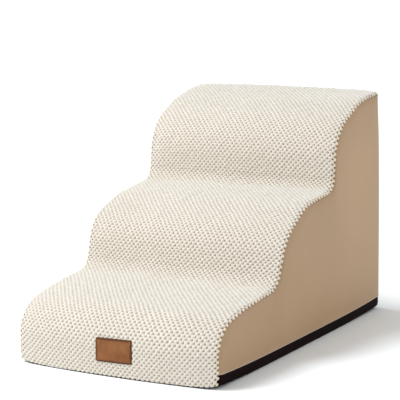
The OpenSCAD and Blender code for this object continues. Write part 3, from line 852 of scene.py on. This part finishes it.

# %% Cream fabric
# Pale cream on the tufts and brown in the pits, partly the fabric's own colour and partly painted
# shade, with fine yarn relief and a cool sheen. The last tufts beside the seam get painted light,
# brighter and warmer.
f = Finish("cream_tufted_fabric", Roughness=0.95, Sheen_Weight=0.6, Sheen_Roughness=0.5,
           Sheen_Tint=(0.72, 0.90, 1.0, 1), Specular_IOR_Level=0.2)
white = (1.0, 1.0, 1.0)
# the dark stops are partly the fabric's own base and partly painted shade in the pits
body = f.ramp(f.spread(f.attribute("loft"), -0.4, 1.2), (0.02, (0.07, 0.048, 0.031)),
              (0.25, (0.225, 0.168, 0.120)), (0.42, (0.462, 0.385, 0.303)),
              (0.58, (0.630, 0.568, 0.486)), (0.78, (0.692, 0.640, 0.562)))
cloud = f.blend(f.noise(9.0, 2.0), (0.97, 0.965, 0.955), white, 0.3, 0.7)
grain = f.blend(f.noise(620.0, 2.0), (0.87, 0.86, 0.85), white, 0.32, 0.62)
# painted light: brightens and warms the last tufts beside the seam
bead = f.blend(f.attribute("bead"), white, (1.20, 1.11, 0.97))
fuzz = f.bump(f.noise(420.0, 4.0), 0.45, 0.0008)
dress(f.join(Base_Color=f.times(body, cloud, grain, bead),
             Normal=f.bump(f.noise(1400.0, 3.0), 0.5, 0.0004, below=fuzz)), *tread_pieces)

# %% Tan coated cloth
# Satin tan with a fine pressed grain and slow changes of tone, with painted shade along the seam
# of the treads and a painted highlight on the fold over the band.
f = Finish("tan_coated_cloth", Roughness=0.48, Specular_IOR_Level=0.35)
from_seam = f.attribute("from_seam")
tone = f.blend(f.noise(6.0, 3.0), (0.388, 0.249, 0.132), (0.413, 0.266, 0.143), 0.35, 0.65)
# painted shade: darker within 4 mm of the seam, and a little darker over the 12 cm below it
painted_seam_shade = f.blend(f.spread(from_seam, 0.0, 0.004), (0.60, 0.56, 0.52), white, 0.1)
painted_seam_falloff = f.blend(f.spread(from_seam, 0.004, 0.12), (0.94, 0.93, 0.925), (1.03, 1.03, 1.03))
# painted highlight: paler on the fold just over the band
painted_fold_highlight = f.spread(f.attribute("over_band"), 0.0018, 0.0006)
dress(f.join(Base_Color=f.mix(painted_fold_highlight, f.times(tone, painted_seam_shade, painted_seam_falloff), (0.56, 0.46, 0.35, 1)),
             Normal=f.bump(f.noise(2600.0, 2.0), 0.10, 0.0002,
                           below=f.bump(f.cells(1100.0), 0.14, 0.0003))),
      side_right, side_left, back_upper, back_lower)

# %% Dark band and base
def dark_cloth(name, rough):
    """Nearly black brown, with a fine grain."""
    f = Finish(name, Roughness=rough, Specular_IOR_Level=0.012)
    tone = f.blend(f.noise(30.0), (0.0060, 0.0024, 0.0024), (0.0090, 0.0040, 0.0040), 0.35, 0.65)
    return f.join(Base_Color=tone, Normal=f.bump(f.noise(1500.0), 0.25, 0.0003))

dress(dark_cloth("dark_coated_cloth", 0.42), band)
dress(dark_cloth("dark_base_cloth", 0.85), base_cloth, grip_dots)

# %% Foam
def foam(name, low, high):
    """Open cells: a pale body pitted by a fine Voronoi pattern."""
    f = Finish(name, Roughness=0.95)
    cells = f.cells(700.0, "F1")
    return f.join(Base_Color=f.blend(cells, low, high, 0.1, 0.7), Normal=f.bump(cells, 0.5, 0.0005))

dress(foam("firm_foam", (0.62, 0.60, 0.54), (0.88, 0.87, 0.82)), foam_block)
dress(foam("soft_foam", (0.62, 0.54, 0.30), (0.85, 0.78, 0.50)), foam_sheet)

# %% Leather patch and thread
# Orange brown with clouds and a grain, and a rim burnished dark, its inner line uneven.
f = Finish("patch_leather", Roughness=0.6, Specular_IOR_Level=0.12)
body = f.blend(f.noise(60.0, 4.0), (0.190, 0.070, 0.024), (0.262, 0.110, 0.044), 0.3, 0.7)
uneven = f.calculate("MULTIPLY", f.noise(350.0), 0.0010)
edge = f.spread(f.calculate("SUBTRACT", f.attribute("rim"), uneven), 0.0012, 0.0024)
dress(f.join(Base_Color=f.mix(edge, (0.086, 0.032, 0.012, 1), body),
             Normal=f.bump(f.cells(900.0), 0.3, 0.0004)), patch)

def thread(name, colour):
    """Twisted thread: slanting dark lines."""
    f = Finish(name, Roughness=0.7)
    twist = f.waves(700.0, "DIAGONAL")
    return f.join(Base_Color=f.blend(twist, dimmed(colour, 0.5), colour),
                  Normal=f.bump(twist, 0.4, 0.0002))

dress(thread("brown_thread", (0.075, 0.030, 0.016)), patch_thread)

# %% Zipper and care label
def woven(name, colour, pitch, rough=0.8, low=0.55):
    """Threads that cross: two waves at right angles, the product of which is the height of the
    cloth; between the threads it is darker, down to the share low of its colour."""
    f = Finish(name, Roughness=rough, Specular_IOR_Level=0.25)
    turns = 3.1416 / (20 * pitch)
    height = f.calculate("MULTIPLY", f.waves(turns, "X", 0.3), f.waves(turns, "Z", 0.3))
    return f.join(Base_Color=f.blend(height, dimmed(colour, low), colour, 0.0, 0.5),
                  Normal=f.bump(height, 0.5, 0.0003))

def moulded(name, colour, rough, **more):
    """Satin moulded or enamelled surface: slight clouds, fine uneven gloss."""
    f = Finish(name, **more)
    gloss = f.spread(f.noise(260.0), 0.3, 0.7, rough - 0.08, rough + 0.08)
    return f.join(Base_Color=f.blend(f.noise(90.0, 4.0), dimmed(colour, 0.85), colour, 0.3, 0.7),
                  Roughness=gloss, Normal=f.bump(f.noise(1800.0, 2.0), 0.12, 0.0001))

dress(woven("zipper_tape_weave", (0.36, 0.26, 0.17), 0.0009), tape_upper, tape_lower)
dress(woven("label_ribbon", (0.74, 0.73, 0.70), 0.0003, 0.5, 0.85), care_label)
dress(moulded("zipper_teeth", (0.42, 0.31, 0.21), 0.38), *[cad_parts[name] for name in (
    "zipper_teeth_upper", "zipper_teeth_lower", "zipper_top_stops", "zipper_bottom_stop")])
dress(moulded("zipper_enamel", (0.40, 0.32, 0.24), 0.33, Coat_Weight=0.3), slider, pull)

# %% [markdown]
# ## Floor and light
# The picture is a catalogue shot: a white floor without an edge, soft light from the left of the
# camera, and so much light from all round that no side is dark. A slightly cool sun lights the far
# floor as well as the near, so the background stays white. Two square lamps add what a sun can't: a
# warm one brightens the left a little, the other the side towards the back.

# %% Floor
FLOOR_HALF = 120.0  # so large that its edge is hardly ever in view
floor = add_piece("floor", FLOOR_HALF * np.array([[-1, -1, 0], [1, -1, 0], [1, 1, 0], [-1, 1, 0]]),
                  [[0, 1, 2, 3]])
f = Finish("white_floor", Roughness=0.9, Specular_IOR_Level=0.1)
dress(f.join(Base_Color=f.blend(f.noise(0.8, 2.0), (0.890, 0.915, 0.920), (0.910, 0.935, 0.940))),
      floor)

# %% Lights
def add_light(name, kind, place, target, strength, colour=(1, 1, 1), **shape):
    """A lamp at the place, aimed at the target. The power of a square lamp is pi times the strength
    at the target times the square of the distance."""
    way = Vector(target) - Vector(place)
    lamp = bpy.data.lights.new(name, kind)
    lamp.energy = strength if kind == "SUN" else math.pi * strength * way.length_squared
    lamp.color = colour
    for key, value in shape.items():
        setattr(lamp, key, value)
    thing = bpy.data.objects.new(name, lamp)
    thing.rotation_euler = way.to_track_quat("-Z", "Y").to_euler()
    thing.location = place
    scene.collection.objects.link(thing)

add_light("broad_light", "SUN", (-1.0, -0.2, 2.0), (0, 0, 0), 1.7, (0.96, 1.0, 1.06),
          angle=math.radians(24))
add_light("left_lamp", "AREA", (-1.1, -1.2, 1.3), (0, -0.1, 0.2), 1.5, (1.0, 0.955, 0.90), size=0.8)
add_light("side_lamp", "AREA", (1.4, 1.2, 0.35), (0.18, 0.1, 0.2), 0.3, size=0.6)
scene.world = world = bpy.data.worlds.new("white_room")
world.use_nodes = True
glow = world.node_tree.nodes["Background"].inputs
glow["Color"].default_value, glow["Strength"].default_value = (1, 1, 1, 1), 0.72
scene.view_settings.view_transform = "Standard"
